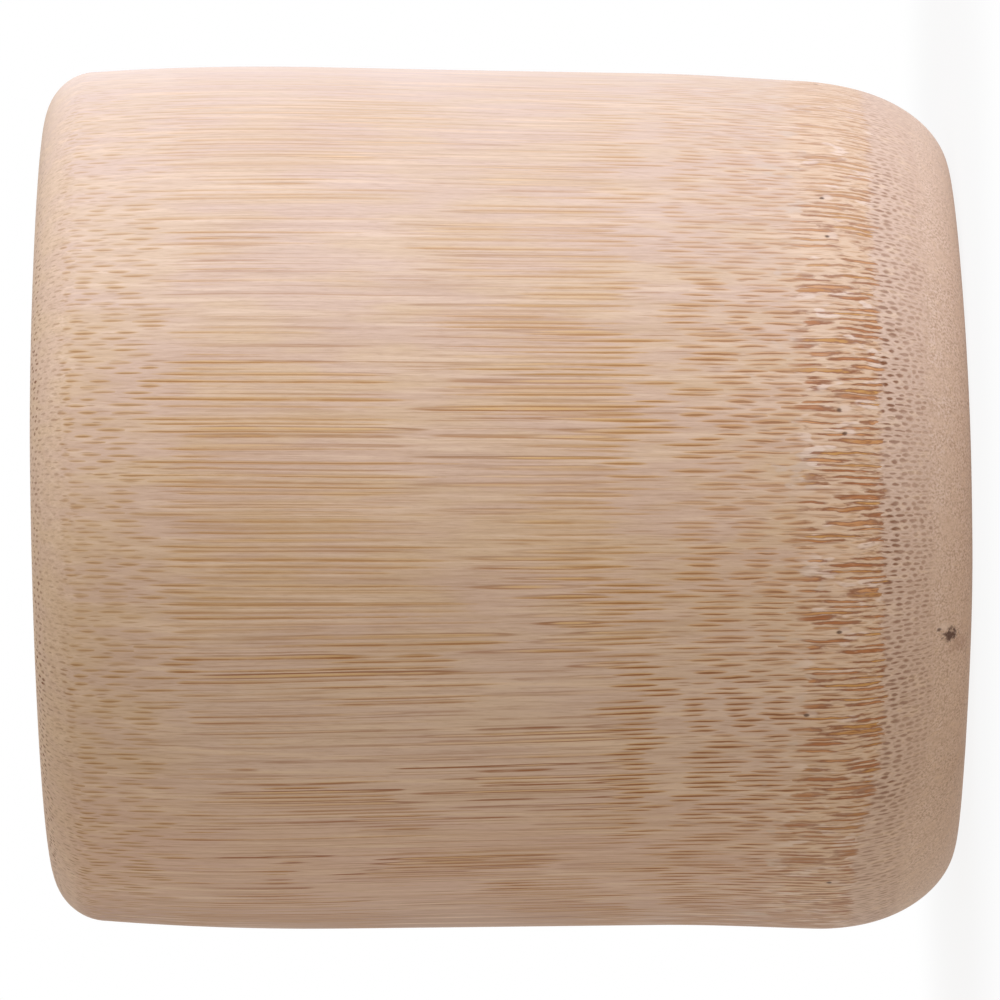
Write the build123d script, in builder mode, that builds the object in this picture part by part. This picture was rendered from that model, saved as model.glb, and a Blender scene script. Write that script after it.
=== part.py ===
"""Bamboo cup made from one length of stem, closed by the partition of its own node.

Sizes are in millimetres. Z is the cup's axis, pointing up, and the table is at zero.
The wall and the partition grew together, so they meet without a gap.
"""

import os
from math import atan2, degrees

from build123d import *

# Outside of the stem
cup_height = 84.0
belly_radius = 40.0
belly_drop = 26.0  # the straight wall ends and the belly begins this far below the rim
node_narrowing = 0.6  # radius lost from the belly down to the node
mouth_narrowing = 1.0  # radius lost from the belly up to the rim

# Heel, a quarter of an ellipse between the wall and the foot
heel_width = 8.3
heel_height = 14.0

# Lip
lip_width = 6.6
lip_outer_round = 3.8
lip_inner_round = 2.4

# Well
well_taper = 0.9  # radius lost from the mouth down to the floor
floor_height = 12.0
floor_round = 7.0
floor_land = 0.9  # flat ring between the floor's rounding and the partition

# Underside
recess_depth = 3.2
recess_flare = 1.6
recess_round = 0.8

# Partition and the root by which it is grown into the wall
floor_dish = 0.9
root_depth = 2.2
root_height = 4.4
root_taper = 1.0  # height that the root loses on each side towards its tip

# Radii and heights that follow
node_radius = belly_radius - node_narrowing
mouth_radius = belly_radius - mouth_narrowing
belly_height = cup_height - belly_drop
wall_rise = belly_height - heel_height
foot_outer_radius = node_radius - heel_width
mouth_inner_radius = mouth_radius - lip_width
well_radius = mouth_inner_radius - well_taper
partition_radius = well_radius - floor_round - floor_land
foot_inner_radius = partition_radius + recess_flare
root_radius = partition_radius + root_depth
root_middle = (floor_height + recess_depth) / 2
root_top = root_middle + root_height / 2
root_bottom = root_middle - root_height / 2

# The heel stops just short of upright, where it points along the straight wall
heel_sweep = 90 - degrees(atan2(node_narrowing * heel_height, wall_rise * heel_width))


def seat_outline():
    """Draw the boundary between wall and partition, from the floor down to the underside."""
    Polyline(
        (partition_radius, floor_height),
        (partition_radius, root_top),
        (root_radius, root_top - root_taper),
        (root_radius, root_bottom + root_taper),
        (partition_radius, root_bottom),
        (partition_radius, recess_depth),
    )


def corners_at(outline, height):
    """Return the corners of an outline at one height, from the innermost outward."""
    level = outline.vertices().filter_by_position(Axis.Y, height - 0.01, height + 0.01)
    return level.sort_by(Axis.X)


# Wall of the stem
with BuildPart() as culm_wall:
    with BuildSketch(Plane.XZ) as wall_outline:
        with BuildLine():
            heel = EllipticalCenterArc(
                (foot_outer_radius, heel_height),
                heel_width,
                heel_height,
                start_angle=-90,
                arc_size=heel_sweep,
            )
            straight = Line(heel @ 1, (belly_radius, belly_height))
            belly = TangentArc(straight @ 1, (mouth_radius, cup_height), tangent=straight % 1)
            Polyline(
                belly @ 1,
                (mouth_inner_radius, cup_height),
                (well_radius, floor_height),
                (partition_radius, floor_height),
            )
            seat_outline()
            Polyline((partition_radius, recess_depth), (foot_inner_radius, 0), heel @ 0)
        make_face()
        fillet(corners_at(wall_outline, cup_height)[-1], lip_outer_round)
        fillet(corners_at(wall_outline, cup_height)[0], lip_inner_round)
        fillet(corners_at(wall_outline, floor_height)[-1], floor_round)
        fillet(corners_at(wall_outline, 0)[0], recess_round)
    revolve(axis=Axis.Z)

# Partition of the node, which is the floor of the cup
with BuildPart() as node_diaphragm:
    with BuildSketch(Plane.XZ):
        with BuildLine():
            top = TangentArc(
                (0, floor_height - floor_dish),
                (partition_radius, floor_height),
                tangent=(1, 0),
            )
            seat_outline()
            Polyline((partition_radius, recess_depth), (0, recess_depth), top @ 0)
        make_face()
    revolve(axis=Axis.Z)

# Files
culm_wall.part.label = "culm_wall"
node_diaphragm.part.label = "node_diaphragm"
os.makedirs("parts", exist_ok=True)
export_step(culm_wall.part, "parts/culm_wall.step")
export_step(node_diaphragm.part, "parts/node_diaphragm.step")
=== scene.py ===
from math import cos, dist, pi, radians, sin, tan
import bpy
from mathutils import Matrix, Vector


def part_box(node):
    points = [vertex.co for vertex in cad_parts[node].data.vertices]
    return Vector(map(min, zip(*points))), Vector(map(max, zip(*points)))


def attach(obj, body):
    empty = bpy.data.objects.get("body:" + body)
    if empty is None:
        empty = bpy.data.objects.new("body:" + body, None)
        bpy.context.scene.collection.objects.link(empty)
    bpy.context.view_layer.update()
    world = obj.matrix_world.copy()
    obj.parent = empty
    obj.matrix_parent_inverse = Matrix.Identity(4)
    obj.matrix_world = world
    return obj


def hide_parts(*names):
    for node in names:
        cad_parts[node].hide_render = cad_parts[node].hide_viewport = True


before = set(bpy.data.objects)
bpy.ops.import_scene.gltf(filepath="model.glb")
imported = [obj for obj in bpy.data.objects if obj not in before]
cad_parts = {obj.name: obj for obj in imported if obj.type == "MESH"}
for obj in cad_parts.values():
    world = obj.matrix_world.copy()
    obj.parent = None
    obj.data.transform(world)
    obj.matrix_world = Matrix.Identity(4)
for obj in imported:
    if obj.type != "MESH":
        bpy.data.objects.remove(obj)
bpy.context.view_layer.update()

from types import SimpleNamespace as Kind

import bpy
from mathutils import Matrix, Vector

# Sizes in metres, the main ones taken from the frame
wall_low, wall_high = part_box("culm_wall")
partition_low, partition_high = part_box("node_diaphragm")
cup_height = wall_high[2]
belly_radius = wall_high[0]
floor_height = partition_high[2]
recess_depth = partition_low[2]
root_radius = partition_high[0]

belly_drop = 0.026
node_narrowing = 0.0006
mouth_narrowing = 0.0010
heel_width = 0.0083
heel_height = 0.0140
lip_width = 0.0066
lip_outer_round = 0.0048
lip_inner_round = 0.0017
well_taper = 0.0009
floor_round = 0.0070
floor_dish = 0.0009
recess_flare = 0.0016
recess_round = 0.0008
root_depth = 0.0022
root_height = 0.0044
root_taper = 0.0010

node_radius = belly_radius - node_narrowing
mouth_radius = belly_radius - mouth_narrowing
belly_height = cup_height - belly_drop
foot_outer_radius = node_radius - heel_width
mouth_inner_radius = mouth_radius - lip_width
well_radius = mouth_inner_radius - well_taper
partition_radius = root_radius - root_depth
foot_inner_radius = partition_radius + recess_flare
root_middle = (floor_height + recess_depth) / 2

# The stem's natural unevenness
lean = tan(radians(1.1))
node_shift = 0.0006
node_shift_start = 0.028
node_shift_end = 0.008
oval = 0.002
oval_direction = radians(60)
swell = 0.00010
# Two waves of the swell: how many around the stem, their start, and their turn per metre of height
swell_waves = ((3, 0.7, 45), (5, 0, -60))

# Worn edges of the foot and the rim, on the sides that are low and high in the photograph
foot_wear_low = 0.00055
foot_wear_high = 0.00027
foot_wear_top = 0.009
rim_wear_high = 0.0003
rim_wear_bottom = 0.073
wear_side = (0.1, 0.95)  # sine of the angle around, where the wear starts and where it is full

# Fineness of the meshes, as numbers of steps
segments = 360
heel_steps = 44
side_steps = 56
lip_outer_steps = 16
lip_flat_steps = 2
lip_inner_steps = 10
well_steps = 40
bowl_steps = 14
floor_edge_steps = 3
recess_steps = 6
foot_steps = 8
partition_rings = (0.1, 0.25, 0.4, 0.55, 0.7, 0.8, 0.9)  # shares of the partition's radius
sharp_angle = radians(40)

# Bands of the square that the surfaces are laid out in for baking, from bottom to top
front_band = (0.005, 0.335)
back_band = (0.345, 0.665)
inside_band = (0.675, 0.905)
foot_band = (0.915, 0.995)
partition_band = (0.01, 0.99)
side_margin = 0.003
fine_ends = 1.7  # the heel and the lip get this many times the room of the side

# Camera, at the photograph's viewing angle: the cup appears on its side, rim to the left
camera_distance = 0.78
pixels_per_metre = 10735
image_size = 1000
sensor_width = 36
camera_roll = radians(0.85)
camera_target = Vector((-0.0001, 0, 0.0422))
camera_near_limit = 0.01


def smooth(value, low, high):
    """0 at low and 1 at high, with a smooth rise between them."""
    share = min(max((value - low) / (high - low), 0), 1)
    return share * share * (3 - 2 * share)


def outer_radius(height):
    """Radius of the outside above the heel."""
    rise = node_narrowing / (belly_height - heel_height)
    if height < belly_height:
        return node_radius + rise * (height - heel_height)
    above = height - belly_height
    fall = mouth_narrowing + rise * belly_drop
    return belly_radius + rise * above - fall * (above / belly_drop) ** 2


def shares(count):
    """Shares of a run, from just after its start to its end."""
    return [(i + 1) / count for i in range(count)]


def line(start, end, count):
    """Points along a straight run, without its start."""
    across = end[0] - start[0]
    up = end[1] - start[1]
    return [(start[0] + across * t, start[1] + up * t) for t in shares(count)]


def turn(centre, across, up, first, last, count):
    """Points along part of an ellipse, from one angle to another, without its start."""
    angles = [first + (last - first) * t for t in shares(count)]
    return [(centre[0] + across * cos(a), centre[1] + up * sin(a)) for a in angles]


def seat_run():
    """Boundary between wall and partition, from the floor down to the underside."""
    half = root_height / 2
    return [
        (partition_radius, root_middle + half),
        (root_radius, root_middle + half - root_taper),
        (root_radius, root_middle - half + root_taper),
        (partition_radius, root_middle - half),
        (partition_radius, recess_depth),
    ]


def wall_outline():
    """Closed outline of the wall as three runs of (radius, height): outside, inside, underside."""
    heel_middle = (foot_outer_radius, heel_height)
    outside = [(foot_outer_radius, 0)]
    outside += turn(heel_middle, heel_width, heel_height, -pi / 2, 0, heel_steps)
    shoulder = cup_height - lip_outer_round
    heights = [p[1] for p in line((0, heel_height), (0, shoulder), side_steps)]
    outside += [(outer_radius(h), h) for h in heights]
    crown = (outer_radius(shoulder) - lip_outer_round, shoulder)
    outside += turn(crown, lip_outer_round, lip_outer_round, 0, pi / 2, lip_outer_steps)

    inside = line(outside[-1], (mouth_inner_radius + lip_inner_round, cup_height), lip_flat_steps)
    hollow = (mouth_inner_radius + lip_inner_round, cup_height - lip_inner_round)
    inside += turn(hollow, lip_inner_round, lip_inner_round, pi / 2, pi, lip_inner_steps)
    inside += line(inside[-1], (well_radius, floor_height + floor_round), well_steps)
    bowl = (well_radius - floor_round, floor_height + floor_round)
    inside += turn(bowl, floor_round, floor_round, 0, -pi / 2, bowl_steps)
    inside += line(inside[-1], (partition_radius, floor_height), floor_edge_steps)

    underside = seat_run()
    underside += line(underside[-1], (foot_inner_radius, 0), recess_steps)[:-1]
    underside += line((foot_inner_radius + recess_round, 0), outside[0], foot_steps)
    return outside, inside, underside[:-1]


def partition_outline():
    """Outline of the partition from the middle of the underside round to the middle of the floor."""
    under = [(partition_radius * t, recess_depth) for t in (0, *partition_rings)]
    top = []
    for t in (1, *partition_rings[::-1], 0):
        top.append((partition_radius * t, floor_height - floor_dish * (1 - t * t)))
    return under + seat_run()[::-1] + top


def grown(radius, height, angle):
    """Place on the stem; angle 0 faces the camera and a quarter turn on is up in the photograph."""
    waves = sum(sin(count * angle + start + climb * height) for count, start, climb in swell_waves)
    wide = radius * (1 + oval * cos(2 * (angle - oval_direction)) + swell / belly_radius * waves)
    drift = lean * (height - cup_height / 2)
    drift -= node_shift * smooth(height, node_shift_start, node_shift_end)
    low_side = smooth(-sin(angle), *wear_side)
    high_side = smooth(sin(angle), *wear_side)
    foot_edge = smooth(radius, foot_inner_radius + recess_round, foot_outer_radius)
    foot_edge *= smooth(height, foot_wear_top, 0)
    lift = foot_edge * (low_side * foot_wear_low + high_side * foot_wear_high)
    lift -= smooth(height, rim_wear_bottom, cup_height) * high_side * rim_wear_high
    return (wide * sin(angle) + drift, -wide * cos(angle), height + lift)


def running_lengths(outline):
    """Length of the outline up to each of its points, with the heel and the lip drawn out."""
    lengths = [0]
    for here, there in zip(outline, outline[1:]):
        at_end = not heel_height < there[1] <= cup_height - lip_outer_round
        lengths.append(lengths[-1] + dist(here, there) * (fine_ends if at_end else 1))
    return lengths


def lay_out(mesh, places, outline, bands):
    """Lay the surface out flat for baking: each band takes some rings and some of the turn."""
    layer = mesh.uv_layers.new(name="OFBake")
    lengths = running_lengths(outline)
    for first_ring, last_ring, first_segment, last_segment, (low, high) in bands:
        scale = (high - low) / (lengths[last_ring] - lengths[first_ring])
        count = last_segment - first_segment
        for ring in range(first_ring, last_ring):
            for segment in range(first_segment, last_segment):
                face = ring * segments + segment
                for corner, (along, up) in zip(mesh.polygons[face].loop_indices, places[face]):
                    share = (along - first_segment) / count
                    height = low + (lengths[up] - lengths[first_ring]) * scale
                    layer.data[corner].uv = (side_margin + share * (1 - 2 * side_margin), height)


def ring_mesh(name, outline, bands):
    """Mesh of rings around the axis, one for each point of the outline; on the axis it is a point."""
    turns = [2 * pi * i / segments - pi / 2 for i in range(segments)]
    points = []
    rings = []
    closed = outline[0] == outline[-1]
    for radius, height in outline[:-1] if closed else outline:
        first = len(points)
        if radius > 0:
            points += [grown(radius, height, a) for a in turns]
            rings.append([first + i for i in range(segments)])
        else:
            points.append(grown(0, height, 0))
            rings.append([first] * segments)
    if closed:
        rings.append(rings[0])
    faces = []
    places = []
    for k in range(len(rings) - 1):
        for i in range(segments):
            j = (i + 1) % segments
            corners = (rings[k][i], rings[k][j], rings[k + 1][j], rings[k + 1][i])
            spots = ((i, k), (i + 1, k), (i + 1, k + 1), (i, k + 1))
            face = {}
            for corner, spot in zip(corners, spots):
                face.setdefault(corner, spot)
            faces.append(tuple(face))
            places.append(tuple(face.values()))
    mesh = bpy.data.meshes.new(name)
    mesh.from_pydata(points, [], faces)
    mesh.update()
    for polygon in mesh.polygons:
        polygon.use_smooth = True
    mesh.set_sharp_from_angle(angle=sharp_angle)
    lay_out(mesh, places, outline, bands)
    return mesh


def piece(name, mesh, node):
    """Put a mesh in the scene in place of a CAD node."""
    made = bpy.data.objects.new(name, mesh)
    bpy.context.scene.collection.objects.link(made)
    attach(made, "root")
    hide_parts(node)
    return made


outside, inside, underside = wall_outline()
wall_points = outside + inside + underside + outside[:1]
lip_ring = len(outside) - 1
seat_ring = lip_ring + len(inside)
wall_bands = [
    (0, lip_ring, 0, segments // 2, front_band),
    (0, lip_ring, segments // 2, segments, back_band),
    (lip_ring, seat_ring, 0, segments, inside_band),
    (seat_ring, len(wall_points) - 1, 0, segments, foot_band),
]
wall_mesh = ring_mesh("bamboo_wall", wall_points, wall_bands)
wall = piece("bamboo_wall", wall_mesh, "culm_wall")
partition_points = partition_outline()
partition_bands = [(0, len(partition_points) - 1, 0, segments, partition_band)]
partition_mesh = ring_mesh("bamboo_partition", partition_points, partition_bands)
partition = piece("bamboo_partition", partition_mesh, "node_diaphragm")


class Number:
    """A number that varies over the surface, made by shader nodes and open to arithmetic."""

    def __init__(self, graph, socket):
        self.graph = graph
        self.socket = socket

    def __add__(self, other):
        return self.graph.math("ADD", self, other)

    def __sub__(self, other):
        return self.graph.math("SUBTRACT", self, other)

    def __rsub__(self, other):
        return self.graph.math("SUBTRACT", other, self)

    def __mul__(self, other):
        return self.graph.math("MULTIPLY", self, other)

    def __truediv__(self, other):
        return self.graph.math("DIVIDE", self, other)

    def __abs__(self):
        return self.graph.math("ABSOLUTE", self)

    def __pow__(self, power):
        return self.graph.math("POWER", self, power)

    __radd__ = __add__
    __rmul__ = __mul__


class Graph:
    """The node graph of a material or of the world."""

    def __init__(self, owner):
        self.owner = owner
        owner.use_nodes = True
        self.tree = owner.node_tree
        self.tree.nodes.clear()

    def node(self, kind, **settings):
        made = self.tree.nodes.new(kind)
        for key, value in settings.items():
            setattr(made, key, value)
        return made

    def put(self, value, socket):
        """Feed a socket with a varying number, another socket or a plain value."""
        if isinstance(value, Number):
            self.tree.links.new(value.socket, socket)
        elif isinstance(value, bpy.types.NodeSocket):
            self.tree.links.new(value, socket)
        else:
            socket.default_value = value

    def math(self, operation, *values):
        made = self.node("ShaderNodeMath", operation=operation)
        for socket, value in zip(made.inputs, values):
            self.put(value, socket)
        return Number(self, made.outputs[0])

    def most(self, *values):
        """The largest of some numbers."""
        largest = values[0]
        for value in values[1:]:
            largest = self.math("MAXIMUM", largest, value)
        return largest

    def total(self, *parts):
        """Sum of some numbers, each taken times its amount."""
        first, amount = parts[0]
        result = first * amount
        for number, amount in parts[1:]:
            result = result + number * amount
        return result

    def fade(self, value, low, high):
        """0 up to low and 1 from high on, with a smooth rise between them."""
        made = self.node("ShaderNodeMapRange", interpolation_type="SMOOTHSTEP")
        self.put(value, made.inputs["Value"])
        self.put(low, made.inputs["From Min"])
        self.put(high, made.inputs["From Max"])
        return Number(self, made.outputs["Result"])

    def point(self, x, y, z):
        made = self.node("ShaderNodeCombineXYZ")
        for socket, value in zip(made.inputs, (x, y, z)):
            self.put(value, socket)
        return made.outputs[0]

    def away(self, place, spot):
        """Distance of a varying place from a fixed spot."""
        made = self.node("ShaderNodeVectorMath", operation="DISTANCE")
        self.put(place, made.inputs[0])
        self.put(spot, made.inputs[1])
        return Number(self, made.outputs["Value"])

    def noise(self, place, size, detail=2.0):
        """Smooth noise around 0, mostly within a quarter of it, with patches about that size."""
        made = self.node("ShaderNodeTexNoise")
        self.put(place, made.inputs["Vector"])
        self.put(1 / size, made.inputs["Scale"])
        self.put(detail, made.inputs["Detail"])
        return Number(self, made.outputs["Fac"]) - 0.5

    def chance(self, a, b, seed):
        """Three random numbers from 0 to 1 for each whole-numbered place."""
        made = self.node("ShaderNodeTexWhiteNoise", noise_dimensions="3D")
        self.put(self.point(a, b, seed), made.inputs["Vector"])
        split = self.node("ShaderNodeSeparateColor")
        self.put(made.outputs["Color"], split.inputs["Color"])
        return [Number(self, s) for s in split.outputs]

    def mix(self, share, under, over):
        """One colour laid over another."""
        made = self.node("ShaderNodeMix", data_type="RGBA")
        sockets = {s.identifier: s for s in made.inputs}
        self.put(share, sockets["Factor_Float"])
        self.put(under, sockets["A_Color"])
        self.put(over, sockets["B_Color"])
        return {s.identifier: s for s in made.outputs}["Result_Color"]

    def coats(self, colour, *layers):
        """A colour with others laid over it in turn, each by its share."""
        for share, over in layers:
            colour = self.mix(share, colour, over)
        return colour

    def bumps(self, place, size):
        """Distance to the nearest of many scattered points about that far apart, 0 at a point."""
        made = self.node("ShaderNodeTexVoronoi", feature="F1")
        self.put(place, made.inputs["Vector"])
        self.put(1 / size, made.inputs["Scale"])
        return Number(self, made.outputs["Distance"])

    def reach(self, across, along, power):
        """Distance from a spot's middle, 1 at its edge; a low power gives a pointed spot."""
        return (abs(across) ** power + abs(along) ** power) ** (1 / power)

    def seen(self):
        """1 for what the camera sees, also by way of gloss or glass, and 0 for what only gives light."""
        path = self.node("ShaderNodeLightPath")
        rays = ("Is Camera Ray", "Is Glossy Ray", "Is Transmission Ray")
        return self.most(*[Number(self, path.outputs[ray]) for ray in rays])

    def shader(self, kind, **values):
        """A shader with some of its sockets set."""
        made = self.node(kind)
        for name, value in values.items():
            made.inputs[name].default_value = value
        return made.outputs[0]

    def blend(self, share, first, second):
        """One shader mixed into another."""
        made = self.node("ShaderNodeMixShader")
        for socket, value in zip(made.inputs, (share, first, second)):
            self.put(value, socket)
        return made.outputs[0]

    def finish(self, colour, roughness, height):
        """Put the surface together from its colour, roughness and relief."""
        shader = self.node("ShaderNodeBsdfPrincipled")
        self.put(colour, shader.inputs["Base Color"])
        self.put(roughness, shader.inputs["Roughness"])
        shader.inputs["Specular IOR Level"].default_value = specular_level
        bump = self.node("ShaderNodeBump")
        bump.inputs["Strength"].default_value = relief_strength
        bump.inputs["Distance"].default_value = relief_depth
        self.put(height, bump.inputs["Height"])
        self.put(bump.outputs[0], shader.inputs["Normal"])
        output = self.node("ShaderNodeOutputMaterial")
        self.put(shader.outputs[0], output.inputs["Surface"])
        return self.owner


def paint(red, green, blue):
    """A colour given in everyday 0 to 255 values, as the linear values that shaders take."""
    parts = [c / 255 for c in (red, green, blue)]
    linear = [c / 12.92 if c <= 0.04045 else ((c + 0.055) / 1.055) ** 2.4 for c in parts]
    return (*linear, 1.0)


# Colours of bare bamboo
pale_warm = paint(215, 180, 142)
pale_pink = paint(212, 177, 149)
pale_light = paint(229, 196, 163)
pale_inner = paint(226, 194, 158)
pale_rose = paint(216, 172, 148)
# painted sheen: a paler, cooler ground for the side of the stem lit from above
painted_sheen_cool = paint(214, 189, 172)
pale_lift = paint(226, 196, 172)
fibre_dark = paint(184, 146, 114)
body_line = paint(166, 110, 52)
body_grey = paint(166, 122, 82)
body_red = paint(155, 97, 64)
body_core = paint(217, 171, 108)
body_halo = paint(207, 159, 97)
rim_line = paint(164, 116, 66)
rim_halo = paint(204, 160, 106)
node_line = paint(152, 101, 62)
node_halo = paint(206, 153, 101)
end_dark = paint(122, 70, 34)
heel_ground = paint(211, 177, 151)
# painted light: the foot's ground is paler to offset the shade where it meets the floor
foot_ground_lightened = paint(222, 189, 161)
band_ground = paint(225, 190, 155)
stroke_edge = paint(145, 88, 52)
stroke_dark = paint(181, 113, 64)
stroke_light = paint(214, 154, 98)
stroke_gold = paint(212, 158, 84)
# painted sheen: paler strokes on the side lit from above
stroke_pale = paint(222, 176, 124)
notch_grey = paint(212, 186, 162)
# painted shade: a redder, darker stripe along the stem's low side
streak_red = paint(152, 102, 74)
island_pale = paint(234, 206, 182)
pit_brown = paint(86, 54, 32)
stain_brown = paint(84, 50, 30)
smear_brown = paint(160, 112, 88)
speckle_dark = paint(186, 151, 124)
speckle_pale = paint(232, 203, 182)
seam_brown = paint(158, 112, 74)
tissue_pale = paint(218, 184, 146)
tissue_light = paint(232, 203, 170)
tissue_dark = paint(182, 138, 98)
tissue_dot = paint(146, 98, 62)

# Gloss and relief
specular_level = 0.33
relief_strength = 0.35
relief_depth = 0.0001
wall_roughness = 0.56
grain_roughness = 0.2
line_roughness = 0.1
relief = Kind(grain=0.5, line=-0.5, edge=-0.3, thread=-0.2, stroke=-0.4, island=0.5, pit=-1.5, speckle=0.8)

# The materials work in millimetres
millimetres = 1000
middle_height = cup_height * millimetres / 2

# Zones of the stem: the height or radius where each starts and where it is full
well_side = (35.5, 34.5)
well_bottom = (5.0, 7.0)
well_top = (83.0, 81.5)
band_bottom = (7.9, 8.6)
band_top = (17.0, 14.0)
notch_bottom = (12.5, 14.5)
notch_top = (20.0, 17.0)
streaks = (32.0, 18.0)
heel_cut = (9.0, 8.0)
heel_dots_end = (8.2, 5.0)
foot_plain = (4.6, 3.4)
under_foot = (0.3, 0.1)
rim_dashes = (69.0, 75.0)
rim_cut = (80.2, 82.0)
rim_crown = (82.6, 83.4)
crown_side = (30.0, 37.0)
long_from_node = (27.0, 35.0)
long_from_rim = (72.0, 66.0)
firm_from_node = (29.0, 36.0)
firm_from_rim = (73.0, 66.0)
seam_side = (0.9, 0.1)
seam_top = (14.0, 13.0)
under_foot_loss = 0.7

# Sides of the stem, in parts of a turn from the front: first where a painted sheen on the side lit from
# above makes the ground paler and cooler and the fibres fainter, then where the fibres are stronger
sheen_side_start = (0.04, 0.2)
sheen_side_end = (0.36, 0.26)
sheen_fibre_loss = 0.65
strong_side_start = (-0.02, -0.08)
strong_side_end = (-0.32, -0.2)
strong_side_gain = 0.75
strong_rim_loss = 0.6

# Side where the node runs higher on the stem and the ground is pinker, with a redder streak along its
# lowest part that is painted shade, darker there, partly the stem's own reddish tone
high_side_start = (-0.08, -0.16)
high_side_end = (-0.42, -0.28)
high_stroke_loss = 0.35
node_rise = 2.2
shade_stripe_start = (-0.175, -0.225)
shade_stripe_end = (-0.345, -0.285)
shade_stripe_jitter = 0.012

# Bends of the grain layers: the height where each starts, and how hard it bends
node_bend = (36.0, 0.0055)
heel_bend = (9.0, 0.05)
rim_bend = (68.0, 0.011)
layer_lean = 0.014
grain_slant = 0.032  # the fibres on the strong side run this much askew

# Noise fields: the share of the height that each follows, small for long streaks, its size, and its detail
fields = Kind(
    ragged_patches=(0.3, 0.9),
    ragged_fibres=(0.03, 0.24),
    # noise that roughens the edge of the painted shade stripe
    streak_edge=(0.03, 1.2),
    slow=(0.45, 13.0),
    quick=(0.10, 1.8),
    brisk=(0.5, 6.0),
    sway=(0.2, 5.0),
    wild=(0.45, 1.5),
    fray=(0.4, 0.3),
    grain=(0.015, 0.17),
    patch=(0.16, 7.0),
    whole=(0.1, 0.45),
    torn=(0.05, 0.19),
    streak=(0.03, 0.6),
    fleck=(0.08, 0.11),
    blotch=(0.18, 2.4),
    speckle=(1.0, 0.2, 1.0),
    speckle_patches=(1.0, 1.6),
    island=(0.35, 1.1),
    notch=(0.4, 1.3),
    tissue_blotch=(1.0, 4.0),
    tissue_fine=(1.0, 0.25, 3.0),
)

# How far the noise moves the grain, and how the zones change that
ragged_reach = 1.8
slow_reach = 1.2
quick_reach = 0.25
brisk_reach = {"all": 0.25, "strong": 0.8}
sway_reach = 0.4
wild_reach = {"band": 0.3, "streaky": 0.35}

# What makes the grain and the fibres show more or less from place to place
grain_show = {"all": 1, "rim": -0.5}
patch_limits = (-0.14, 0.14)
whole_limits = (-0.22, 0.02)
whole_least = 0.5
luck_shuffle = (7.3, 3.1)  # makes a fourth chance out of the first two

# Fibre bundles: their spacing around the stem and between the layers, their half sizes and their strength
bundles = Kind(
    around=440,
    period=0.9,
    seed=1.0,
    scramble={"all": 0.4, "near_end": 0.6},
    depth={"all": 0.17, "streaky": 0.06, "heel": 0.01, "rim": 0.05},
    more_depth={"all": 0.14, "streaky": 0.16},
    width={"all": 0.15, "streaky": -0.03, "rim": -0.01, "rim_end": -0.05, "crown": 0.05, "heel": -0.012},
    more_width={"all": 0.07, "streaky": 0.07},
    side_stray=0.35,
    depth_stray={"all": 0.15, "rim": 0.35, "heel": 0.15},
    power=1.6,
    halo_fray=0.3,
    line_shift={"all": 0.3, "cut_end": -0.3},
    line_share={"all": 0.55, "cut_end": 0.4},
    line_fray={"all": 0.3, "cut_end": 1.2},
    strength=(0.15, 0.70),
    firm_strength=(0.55, 0.20),
    firm_show={"all": 1, "rim": -0.5},
    factors=(
        {"all": 0.75, "patch": 0.4},
        {"all": 1, "band": -0.35},
        {"all": 1, "foot": -1},
        {"all": 1, "well": -0.5},
        {"all": 1, "rim_end": -0.55, "crown": 0.75},
        {"all": 1, "heel": 0.2, "low_heel": -0.7},
        {"all": 1, "pink_heel": -0.45},
    ),
    halo=(1.2, 0.7),
    line=(1.1, 0.5),
    ring_inside=(1.0, 1.4),
    ring_outside=(2.4, 1.7),
)

# Broad bundles between the ends
broad = Kind(
    around=300,
    period=0.8,
    shift=0.3,
    seed=5.0,
    scramble=0.5,
    depth=(0.18, 0.32),
    width=(0.14, 0.24),
    side_stray=0.45,
    power=2.0,
    strength=(0.1, 1.0),
    factors=({"all": 0.45, "patch": 0.75},),
    side_weight=0.75,
    side_change=0.7,
    edge_at=0.85,
    edge=(0.45, 0.05),
    core=(0.75, 0.4),
)

# Thin threads between the bundles
threads = Kind(
    around=660,
    period=0.7,
    seed=2.0,
    scramble=0.8,
    depth=(0.12, 0.22),
    width=(0.06, 0.10),
    side_stray=0.4,
    power=1.5,
    factors=({"all": 1, "band": -0.5}, {"all": 1, "cut_end": -0.6}, {"all": 1, "foot": -1}),
    line=(1.3, 0.5),
)

# Torn strokes of the node band
strokes = Kind(
    around=440,
    period=7.0,
    seed=3.0,
    scramble=1.0,
    thick=(0.115, 0.295),
    long=(1.9, 3.5),
    side_stray=0.35,
    power=3.0,
    fray=0.9,
    rarity={"all": -0.75, "band": 0.6},
    appear=(0.0, 0.1),
    edge=(1.25, 0.8),
    heart=(0.85, 0.45),
    gold=(0.6, 0.9),
    torn_dark=(0.0, 0.2),
    torn_pale=(-0.04, -0.22),
)

# Marks left by branch roots on the node and the foot: degrees around from the front, and height
pit_spots = (
    (11.7, 12.05), (8.6, 11.6), (-17.3, 12.3), (44, 12.9), (37, 12.6), (-29, 15.2), (-18.4, 3.3),
    (82, 12.4), (118, 11.8), (151, 13.0), (-160, 12.1), (-128, 12.7), (-96, 11.9), (-61, 12.8),
)
pits = Kind(spots=pit_spots, wide=0.16, tall=0.22, shift=(0, 0), fray=1.4, limits=(1.5, 0.4))
scars = Kind(spots=pit_spots, wide=0.16, tall=0.22, shift=(1.0, -2.2), fray=2.0, limits=(3.2, 1.2))
stains = Kind(spots=((-19.6, 2.2),), wide=0.75, tall=0.7, shift=(0, 0), fray=2.8, limits=(1.3, 0.2))
smears = Kind(spots=((-21.5, 1.5),), wide=0.9, tall=0.9, shift=(0, 0), fray=3.0, limits=(1.4, 0.3))

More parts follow.
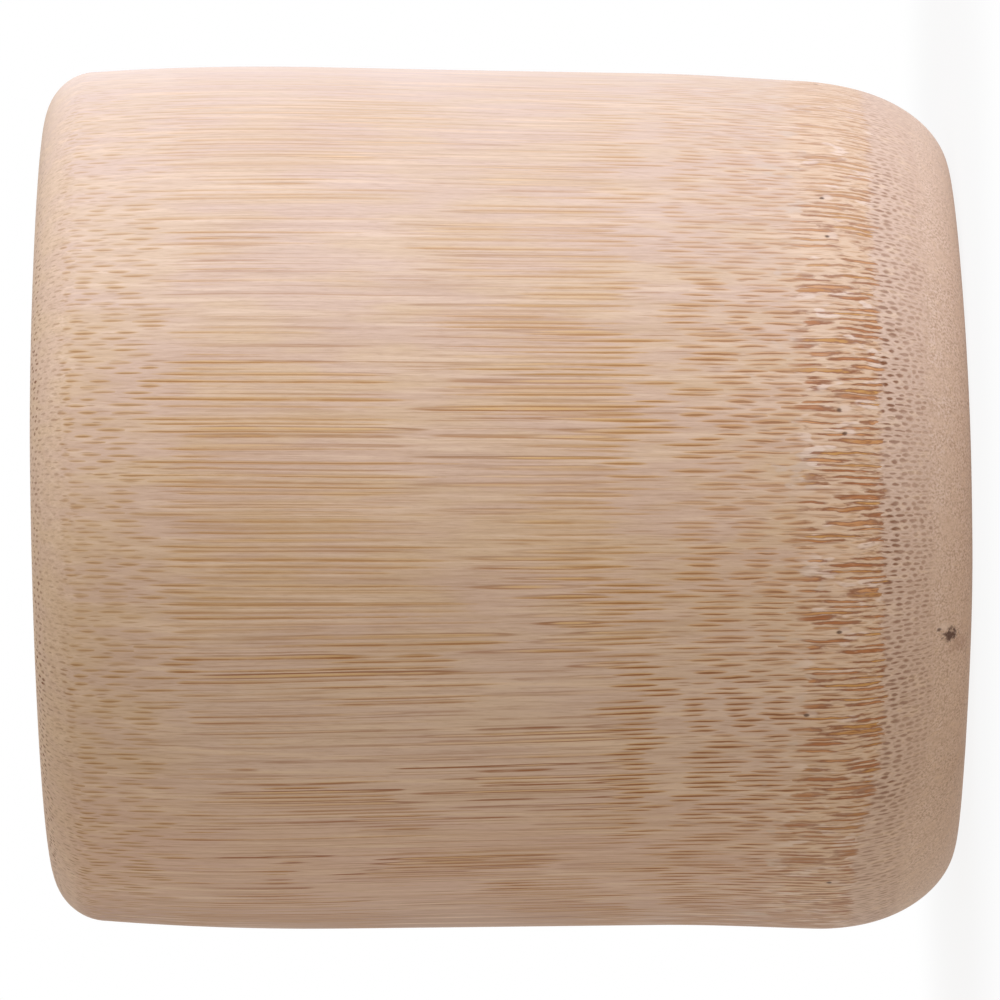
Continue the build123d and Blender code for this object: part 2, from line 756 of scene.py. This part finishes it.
# Limits of the noise that makes other marks
blotch_limits = (-0.12, 0.12)
streak_pale = (-0.02, -0.22)
streak_dark = (0.0, 0.3)
grain_dark = (-0.02, 0.28)
fleck_pale = (0.0, -0.25)
fleck_dark = (0.0, 0.25)
torn_grain = (0.02, 0.25)
speckle_patch = (-0.3, 0.1)
speckle_low = (0.02, -0.2)
speckle_high = (0.0, 0.18)
island_limits = (0.09, 0.17)
island_more = 0.05  # islands are more common on the high side
notch_limits = (0.1, 0.18)

# How much of what is under it each colour covers
cover = Kind(
    rose=0.5,
    # share of the painted sheen colour on the side lit from above
    cool=0.4,
    # share of the painted shade colour in the stripe along the low side
    streak_red=0.58,
    lift=0.5,
    lift_show={"all": 1, "pink": -0.6},
    band=0.8,
    # the band and heel colours give way to the painted shade stripe
    band_show={"all": 1, "reddish": -0.5},
    heel_show={"all": 1, "reddish": -0.3},
    rim_end=0.4,
    streak_pale={"all": 0.7, "strong": 0.25},
    streak_dark=0.4,
    grain=0.5,
    fleck=0.35,
    red=0.6,
    thread=0.5,
    core={"all": 0.75, "strong": -0.4},
    edge=0.9,
    halo={"all": 0.75, "strong": -0.25},
    ring=0.3,
    line=0.85,
    notch=0.6,
    island=0.8,
    stroke=0.85,
    stroke_heart=0.9,
    stroke_gold=0.8,
    # share of the painted sheen colour in the strokes on the side lit from above
    stroke_pale=0.8,
    stroke_red=0.35,
    torn_dark=0.7,
    torn_pale=0.45,
    torn_grain=0.5,
    speckle=0.8,
    seam=0.35,
    scar=0.55,
    pit=0.85,
    smear=0.35,
    stain=0.95,
)

# Partition: tangled fibres, dots where they end, and how much each colour covers
tissue = Kind(
    bend_size=9.0,
    bend_reach=9,
    second_bend_place=40,
    drawn=0.1,
    fibre_size=0.45,
    choice_size=6.0,
    choice_place=80,
    choice=(-0.06, 0.06),
    dot_spacing=1.4,
    dot_fray=0.3,
    dot=(0.24, 0.10),
    middle=8.0,
    blotch=(-0.12, 0.14),
    edge_blotch=(0.1, -0.1),
    fibre_dark=(0.0, 0.24),
    fibre_light=(-0.04, -0.24),
    cover_blotch=0.6,
    cover_fibre=0.6,
    cover_dot=0.45,
    cover_edge=0.2,
    cover_seam=0.6,
    roughness=0.58,
    fibre_roughness=0.2,
    relief_fibre=0.6,
    relief_fine=0.4,
    relief_dot=-0.5,
)


def spread(luck, limits):
    """A size between two limits, by chance."""
    low, high = limits
    return luck * (high - low) + low


class Stem:
    """Where a point of the surface is on the stem, and in which zones of it."""

    def __init__(self, graph):
        self.graph = graph
        where = graph.node("ShaderNodeTexCoord")
        split = graph.node("ShaderNodeSeparateXYZ")
        graph.put(where.outputs["Object"], split.inputs[0])
        x, y, z = [Number(graph, s) * millimetres for s in split.outputs]
        self.x = x - (z - middle_height) * lean
        self.y = y
        self.z = z
        self.radius = graph.math("SQRT", self.x * self.x + y * y)
        self.turns = graph.math("ARCTAN2", self.x, y * -1) / (2 * pi)
        self.one_turn = 2 * pi * belly_radius * millimetres
        self.find_zones()
        self.find_layers()

    def noise(self, drawn, size, detail=2.0):
        """Noise drawn out along the stem: it follows that share of the height."""
        return self.graph.noise(self.graph.point(self.x, self.y, self.z * drawn), size, detail)

    def side_zone(self, place, start, end):
        """1 on one side of the stem, between a start and an end in parts of a turn."""
        return self.graph.fade(place, *start) * self.graph.fade(place, *end)

    def by_zone(self, amounts):
        """An amount for the whole stem, with more or less of it in some zones."""
        result = amounts.get("all", 0)
        for zone, amount in amounts.items():
            if zone != "all":
                result = getattr(self, zone) * amount + result
        return result

    def scaled(self, strength, factors):
        """A strength times some factors that differ by zone."""
        for factor in factors:
            strength = strength * self.by_zone(factor)
        return strength

    def find_zones(self):
        """Zones along the stem; the node, its streaks and the cut ends are on the outside only."""
        fade = self.graph.fade
        z = self.z
        self.well = fade(self.radius, *well_side) * fade(z, *well_bottom) * fade(z, *well_top)
        self.outer = 1 - self.well
        high = self.side_zone(self.turns, high_side_start, high_side_end)
        self.pink = high * self.outer
        # painted shade: a redder, darker stripe along the low side, with a ragged edge
        edged = self.turns + self.noise(*fields.streak_edge) * shade_stripe_jitter
        self.reddish = self.side_zone(edged, shade_stripe_start, shade_stripe_end) * self.outer
        rough = self.noise(*fields.ragged_patches) + self.noise(*fields.ragged_fibres)
        self.ragged = z - high * node_rise + rough * ragged_reach
        self.band = fade(self.ragged, *band_bottom) * fade(self.ragged, *band_top) * self.outer
        self.streaky = fade(z, *streaks) * self.outer
        self.collar = fade(self.ragged, *notch_bottom) * fade(self.ragged, *notch_top) * self.outer
        self.heel = fade(self.ragged, *heel_cut) * self.outer
        self.low_heel = self.heel * fade(z, *heel_dots_end)
        self.pink_heel = self.heel * self.pink
        self.foot = fade(self.ragged, *foot_plain) * (1 - fade(z, *under_foot) * under_foot_loss)
        self.rim = fade(z, *rim_dashes) * self.outer
        self.rim_end = fade(z, *rim_cut) * self.outer
        self.crown = fade(z, *rim_crown) * fade(self.radius, *crown_side)
        self.cut_end = self.graph.most(self.heel, self.rim_end)
        self.near_end = self.graph.most(self.streaky, self.rim)
        self.between = fade(z, *long_from_node) * fade(z, *long_from_rim)
        self.firm = (1 - fade(z, *firm_from_node) * fade(z, *firm_from_rim)) * self.outer
        # painted sheen: the side lit from above gets a paler, cooler ground and paler strokes
        self.painted_sheen_side = self.side_zone(self.turns, sheen_side_start, sheen_side_end) * self.outer
        self.askew = self.side_zone(self.turns, strong_side_start, strong_side_end)
        self.strong = self.askew * self.outer * (1 - self.heel) * (1 - self.rim * strong_rim_loss)
        # under the painted sheen the fibres and threads are fainter
        self.fibres_under_sheen = 1 - self.painted_sheen_side * sheen_fibre_loss
        self.shown = self.fibres_under_sheen + self.strong * strong_side_gain
        self.torn_off = self.fibres_under_sheen * (1 - high * high_stroke_loss)
        beside = self.radius - partition_radius * millimetres
        self.seam = fade(abs(beside), *seam_side) * fade(z, *seam_top)

    def find_layers(self):
        """Layers of grain: they bend outward at the node and the rim, so sanding cuts more of them."""
        graph = self.graph
        self.fray = self.noise(*fields.fray)
        self.grain = self.noise(*fields.grain) * self.by_zone(grain_show)
        self.patch = graph.fade(self.noise(*fields.patch), *patch_limits)
        whole = graph.fade(self.noise(*fields.whole), *whole_limits)
        self.whole = whole * (1 - whole_least) + whole_least
        bend = 0
        for sign, (start, curve) in ((-1, node_bend), (-1, heel_bend), (1, rim_bend)):
            past = graph.math("MAXIMUM", (self.z - start) * sign, 0.0) * self.outer
            bend = past * past * curve + bend
        uneven = self.noise(*fields.slow) * slow_reach + self.noise(*fields.quick) * quick_reach
        uneven = uneven + self.noise(*fields.brisk) * self.by_zone(brisk_reach)
        self.level = self.radius + self.z * layer_lean - bend + uneven
        slant = self.askew * (self.z - middle_height) * grain_slant
        waves = self.noise(*fields.wild) * self.by_zone(wild_reach)
        sway = self.noise(*fields.sway) * sway_reach
        self.swayed = self.turns + (sway + waves + slant) / self.one_turn

    def scatter(self, kind, places, scramble):
        """Cells in strips around the stem, each strip shifted along by chance."""
        graph = self.graph
        strips = self.swayed * kind.around
        strip = graph.math("FLOOR", strips)
        side = strips - strip - 0.5
        strip = graph.math("FLOORED_MODULO", strip, kind.around)
        shifted = places + (graph.chance(strip, 0.0, kind.seed)[0] - 0.5) * scramble
        place = graph.math("FLOOR", shifted)
        luck = graph.chance(strip, place, kind.seed + 0.5)
        luck.append(graph.math("FRACT", graph.total(*zip(luck, luck_shuffle))))
        return side, shifted - place - 0.5, luck

    def aside(self, side, luck, kind):
        """Distance from the middle of a fibre, which chance moves aside in its strip."""
        return (side + (luck - 0.5) * kind.side_stray) * (self.one_turn / kind.around)

    def mark(self, kind):
        """Where the marks of one kind are: around some spots, by a mark's half width and half height."""
        graph = self.graph
        flat = graph.point(self.turns * (self.one_turn / kind.wide), self.z / kind.tall, 0)
        closest = None
        for degrees_around, height in kind.spots:
            across = degrees_around / 360 * self.one_turn / kind.wide + kind.shift[0]
            distance = graph.away(flat, (across, height / kind.tall + kind.shift[1], 0))
            closest = distance if closest is None else graph.math("MINIMUM", closest, distance)
        return graph.fade(closest + self.fray * kind.fray, *kind.limits) * self.outer


def fibre_bundles(stem):
    """Fibre bundles: a dark line in a golden halo, or, cut across, a dark dot in a pale ring."""
    graph = stem.graph
    kind = bundles
    side, depth, luck = stem.scatter(kind, stem.level / kind.period, stem.by_zone(kind.scramble))
    size = luck[0] * stem.by_zone(kind.more_depth) + stem.by_zone(kind.depth)
    width = luck[1] * stem.by_zone(kind.more_width) + stem.by_zone(kind.width)
    across = stem.aside(side, luck[2], kind) / width
    along = (depth + (luck[2] - 0.5) * stem.by_zone(kind.depth_stray)) * kind.period / size
    reach = graph.reach(across, along, kind.power) + stem.fray * kind.halo_fray
    line_across = (across + stem.by_zone(kind.line_shift)) / stem.by_zone(kind.line_share)
    line_reach = graph.reach(line_across, along, kind.power)
    line_reach = line_reach + stem.fray * stem.by_zone(kind.line_fray)
    firm = stem.firm * stem.by_zone(kind.firm_show) * spread(luck[3], kind.firm_strength)
    strength = (spread(luck[3], kind.strength) + firm) * stem.whole * stem.shown
    strength = stem.scaled(strength, kind.factors)
    halo = graph.fade(reach, *kind.halo) * strength * (1 - stem.cut_end)
    dark = graph.fade(line_reach, *kind.line) * strength
    ring = graph.fade(line_reach, *kind.ring_inside) * graph.fade(line_reach, *kind.ring_outside)
    return halo, dark, ring * stem.heel * (1 - stem.foot)


def broad_bundles(stem):
    """Broad bundles cut lengthwise between the ends: two dark edges with a golden core."""
    graph = stem.graph
    kind = broad
    side, depth, luck = stem.scatter(kind, stem.level / kind.period + kind.shift, kind.scramble)
    across = stem.aside(side, luck[2], kind) / spread(luck[1], kind.width)
    along = depth * kind.period / spread(luck[0], kind.depth)
    reach = graph.reach(across, along, kind.power)
    strength = spread(luck[3], kind.strength) * stem.between * stem.whole * stem.shown
    strength = stem.scaled(strength, kind.factors)
    one_sided = kind.side_weight + across * (luck[2] - 0.5) * kind.side_change
    edge = graph.fade(abs(reach - kind.edge_at), *kind.edge) * strength * one_sided
    core = graph.fade(reach, *kind.core) * strength
    edge_colour = graph.coats(body_line, (luck[2], body_grey), (stem.strong * cover.red, body_red))
    return edge, core, edge_colour


def thin_threads(stem):
    """Thin threads between the bundles."""
    graph = stem.graph
    kind = threads
    side, depth, luck = stem.scatter(kind, stem.level / kind.period, kind.scramble)
    across = stem.aside(side, luck[2], kind) / spread(luck[1], kind.width)
    along = depth * kind.period / spread(luck[0], kind.depth)
    reach = graph.reach(across, along, kind.power)
    return graph.fade(reach, *kind.line) * stem.scaled(luck[3] * stem.fibres_under_sheen, kind.factors)


def node_strokes(stem):
    """Torn strokes of the node band: their edge, their heart and its colour."""
    graph = stem.graph
    kind = strokes
    side, along, luck = stem.scatter(kind, stem.ragged / kind.period, kind.scramble)
    across = stem.aside(side, luck[3], kind) / spread(luck[0] * luck[0], kind.thick)
    along = along * kind.period / spread(luck[1], kind.long)
    reach = graph.reach(across, along, kind.power) + stem.fray * kind.fray
    here = graph.fade(luck[2] + stem.by_zone(kind.rarity), *kind.appear) * stem.band * stem.torn_off
    torn = stem.noise(*fields.torn)
    tone = graph.coats(
        stroke_dark,
        (luck[3], stroke_light),
        (graph.fade(luck[1], *kind.gold) * cover.stroke_gold, stroke_gold),
        # painted sheen: paler strokes on the side lit from above
        (stem.painted_sheen_side * cover.stroke_pale, stroke_pale),
        (stem.pink * cover.stroke_red, body_red),
        (graph.fade(torn, *kind.torn_dark) * cover.torn_dark * stem.fibres_under_sheen, stroke_edge),
        (graph.fade(torn, *kind.torn_pale) * cover.torn_pale, band_ground),
    )
    return graph.fade(reach, *kind.edge) * here, graph.fade(reach, *kind.heart) * here, tone


def ground_colour(stem):
    """Colour between the fibres, zone by zone, with fine grain and slow changes."""
    graph = stem.graph
    fade = graph.fade
    streak = stem.noise(*fields.streak)
    fleck = stem.noise(*fields.fleck)
    blotch = stem.noise(*fields.blotch)
    return graph.coats(
        pale_warm,
        (fade(blotch, *blotch_limits), pale_pink),
        (stem.pink * cover.rose, pale_rose),
        # painted sheen: paler, cooler ground on the side lit from above
        (stem.painted_sheen_side * cover.cool, painted_sheen_cool),
        # painted shade: redder, darker stripe along the low side
        (stem.reddish * cover.streak_red, streak_red),
        (stem.strong * stem.by_zone(cover.lift_show) * cover.lift, pale_lift),
        (stem.band * stem.by_zone(cover.band_show) * cover.band, band_ground),
        (stem.heel * stem.by_zone(cover.heel_show), heel_ground),
        # painted light: paler ground at the foot, against the shade beside the floor
        (stem.foot, foot_ground_lightened),
        (stem.well, pale_inner),
        (stem.rim_end * cover.rim_end, pale_light),
        (fade(streak, *streak_pale) * stem.by_zone(cover.streak_pale), pale_light),
        (fade(stem.grain, *grain_dark) * cover.grain * stem.fibres_under_sheen, fibre_dark),
        (fade(fleck, *fleck_pale) * cover.fleck, pale_light),
        (fade(fleck, *fleck_dark) * cover.fleck, fibre_dark),
        (fade(streak, *streak_dark) * cover.streak_dark * stem.fibres_under_sheen, fibre_dark),
    )


def bamboo(name):
    """Bare sanded wall of the stem."""
    graph = Graph(bpy.data.materials.new(name))
    stem = Stem(graph)
    fade = graph.fade
    halo, dark, ring = fibre_bundles(stem)
    edge, core, edge_colour = broad_bundles(stem)
    thread = thin_threads(stem)
    stroke, stroke_heart, stroke_tone = node_strokes(stem)
    speckle = stem.noise(*fields.speckle)
    speckled = stem.foot * fade(stem.noise(*fields.speckle_patches), *speckle_patch)
    island = fade(stem.noise(*fields.island) + stem.pink * island_more, *island_limits) * stem.band
    notch = fade(stem.noise(*fields.notch), *notch_limits) * stem.collar
    pit = stem.mark(pits)

    line_colour = graph.coats(
        body_line,
        (stem.strong * cover.red, body_red),
        (stem.rim, rim_line),
        (stem.streaky, node_line),
        (stem.cut_end, end_dark),
    )
    halo_colour = graph.coats(body_halo, (stem.rim, rim_halo), (stem.streaky, node_halo))
    colour = graph.coats(
        ground_colour(stem),
        (fade(speckle, *speckle_low) * speckled * cover.speckle, speckle_dark),
        (fade(speckle, *speckle_high) * speckled * cover.speckle, speckle_pale),
        (thread * cover.thread, line_colour),
        (core * stem.by_zone(cover.core), body_core),
        (edge * cover.edge, edge_colour),
        (halo * stem.by_zone(cover.halo), halo_colour),
        (ring * cover.ring, island_pale),
        (dark * cover.line, line_colour),
        (notch * cover.notch, notch_grey),
        (island * cover.island, island_pale),
        (stroke * cover.stroke, stroke_edge),
        (stroke_heart * cover.stroke_heart, stroke_tone),
        (fade(stem.grain, *torn_grain) * stem.band * cover.torn_grain, stroke_edge),
        (stem.seam * cover.seam, seam_brown),
        (stem.mark(scars) * cover.scar, island_pale),
        (pit * cover.pit, pit_brown),
        (stem.mark(smears) * cover.smear, smear_brown),
        (stem.mark(stains) * cover.stain, stain_brown),
    )
    roughness = wall_roughness + stem.grain * grain_roughness + dark * line_roughness
    height = graph.total(
        (stem.grain, relief.grain),
        (dark, relief.line),
        (edge, relief.edge),
        (thread, relief.thread),
        (stroke, relief.stroke),
        (island, relief.island),
        (pit, relief.pit),
        (speckle * speckled, relief.speckle),
    )
    return graph.finish(colour, roughness, height)


def node_tissue(name):
    """Woody partition of the node: short fibres that run every way, with dots where they end."""
    graph = Graph(bpy.data.materials.new(name))
    stem = Stem(graph)
    fade, point = graph.fade, graph.point
    bend_x = graph.noise(point(stem.x, stem.y, 0), tissue.bend_size) * tissue.bend_reach
    other_place = point(stem.y, stem.x, tissue.second_bend_place)
    bend_y = graph.noise(other_place, tissue.bend_size) * tissue.bend_reach
    one_place = point((stem.x + bend_x) * tissue.drawn, stem.y + bend_y, stem.z)
    one_way = graph.noise(one_place, tissue.fibre_size)
    cross_place = point(stem.x + bend_y, (stem.y + bend_x) * tissue.drawn, stem.z)
    other_way = graph.noise(cross_place, tissue.fibre_size)
    choice_place = point(stem.x, stem.y, tissue.choice_place)
    choice = fade(graph.noise(choice_place, tissue.choice_size), *tissue.choice)
    fibre = one_way * choice + other_way * (1 - choice)
    blotch = stem.noise(*fields.tissue_blotch)
    fine = stem.noise(*fields.tissue_fine)
    dots = graph.bumps(point(stem.x, stem.y, 0), tissue.dot_spacing)
    dot = fade(dots + fine * tissue.dot_fray, *tissue.dot)
    towards_wall = fade(stem.radius, tissue.middle, partition_radius * millimetres)

    colour = graph.coats(
        tissue_pale,
        (fade(blotch, *tissue.blotch) * tissue.cover_blotch, tissue_light),
        (fade(fibre, *tissue.fibre_dark) * tissue.cover_fibre, tissue_dark),
        (fade(fibre, *tissue.fibre_light) * tissue.cover_fibre, tissue_light),
        (dot * tissue.cover_dot, tissue_dot),
        (towards_wall * fade(blotch, *tissue.edge_blotch) * tissue.cover_edge, tissue_dark),
        (stem.seam * tissue.cover_seam, seam_brown),
    )
    roughness = tissue.roughness + fibre * tissue.fibre_roughness
    height = graph.total(
        (fibre, tissue.relief_fibre),
        (fine, tissue.relief_fine),
        (dot, tissue.relief_dot),
    )
    return graph.finish(colour, roughness, height)


wall.data.materials.append(bamboo("bamboo_wall"))
partition.data.materials.append(node_tissue("bamboo_node"))

# Studio: a pale floor, an even fill and two soft lamps
white = (1, 1, 1, 1)
floor_reach = 6.0
floor_drop = 0.00002  # keeps the floor clear of the foot
floor_pale = (0.9, 0.9, 0.9, 1)
table_tint = (1.0, 0.95, 0.9, 1)
table_share = 0.42  # share of the floor's brightness that comes from within
table_glow = 0.62
shadow_reach = (0.10, 0.04)
shadow_share = 0.15
fill_tint = (1.0, 0.975, 0.945, 1)
fill_strength = 0.55
backdrop_strength = 1.0
lamps = {
    "key": Kind(place=(0.55, -0.23, 0.14), wide=0.45, tall=0.26, watts=2.75, tint=(0.88, 1.01, 1.33)),
    "back": Kind(place=(0.40, 0.57, 0.15), wide=0.45, tall=0.28, watts=0.48, tint=(0.74, 0.97, 1.40)),
}

corners = [(-1, -1), (1, -1), (1, 1), (-1, 1)]
floor_mesh = bpy.data.meshes.new("floor")
floor_points = [(a * floor_reach, b * floor_reach, -floor_drop) for a, b in corners]
floor_mesh.from_pydata(floor_points, [], [(0, 1, 2, 3)])
floor = bpy.data.objects.new("floor", floor_mesh)
bpy.context.scene.collection.objects.link(floor)


def pale_floor(name):
    """Pale floor, lit from within like a light table and seen as white, with a faint shadow."""
    graph = Graph(bpy.data.materials.new(name))
    where = graph.node("ShaderNodeTexCoord")
    near = graph.fade(graph.away(where.outputs["Object"], (0, 0, 0)), *shadow_reach)
    matt = graph.shader("ShaderNodeBsdfDiffuse", Color=floor_pale)
    glow = graph.shader("ShaderNodeEmission", Color=table_tint, Strength=table_glow)
    table = graph.blend(table_share, matt, glow)
    bright = graph.shader("ShaderNodeEmission", Color=white)
    surface = graph.blend(graph.seen() * (1 - near * shadow_share), table, bright)
    graph.put(surface, graph.node("ShaderNodeOutputMaterial").inputs["Surface"])
    return graph.owner


def studio_world(name):
    """Even fill light, with the room itself seen as white."""
    graph = Graph(bpy.data.worlds.new(name))
    fill = graph.shader("ShaderNodeBackground", Color=fill_tint, Strength=fill_strength)
    backdrop = graph.shader("ShaderNodeBackground", Color=white, Strength=backdrop_strength)
    surface = graph.blend(graph.seen(), fill, backdrop)
    graph.put(surface, graph.node("ShaderNodeOutputWorld").inputs["Surface"])
    return graph.owner


def softbox(name, lamp, aim):
    """Rectangular lamp facing a point."""
    data = bpy.data.lights.new(name, "AREA")
    data.shape = "RECTANGLE"
    data.size = lamp.wide
    data.size_y = lamp.tall
    data.energy = lamp.watts
    data.color = lamp.tint
    made = bpy.data.objects.new(name, data)
    made.location = lamp.place
    made.rotation_euler = (Vector(aim) - Vector(lamp.place)).to_track_quat("-Z", "Y").to_euler()
    bpy.context.scene.collection.objects.link(made)


floor_mesh.materials.append(pale_floor("pale_floor"))
bpy.context.scene.world = studio_world("studio")
for lamp_name, lamp in lamps.items():
    softbox(lamp_name, lamp, (0, 0, cup_height / 2))

data = bpy.data.cameras.new("camera")
data.sensor_width = sensor_width
data.lens = pixels_per_metre * camera_distance * sensor_width / image_size
data.clip_start = camera_near_limit
camera = bpy.data.objects.new("camera", data)
on_its_side = Matrix(((0, 1, 0), (0, 0, -1), (-1, 0, 0))).to_4x4()
camera.matrix_world = (
    Matrix.Translation(camera_target + Vector((0, -camera_distance, 0)))
    @ on_its_side
    @ Matrix.Rotation(-camera_roll, 4, "Z")
)
bpy.context.scene.collection.objects.link(camera)
bpy.context.scene.camera = camera
bpy.context.scene.view_settings.view_transform = "Standard"
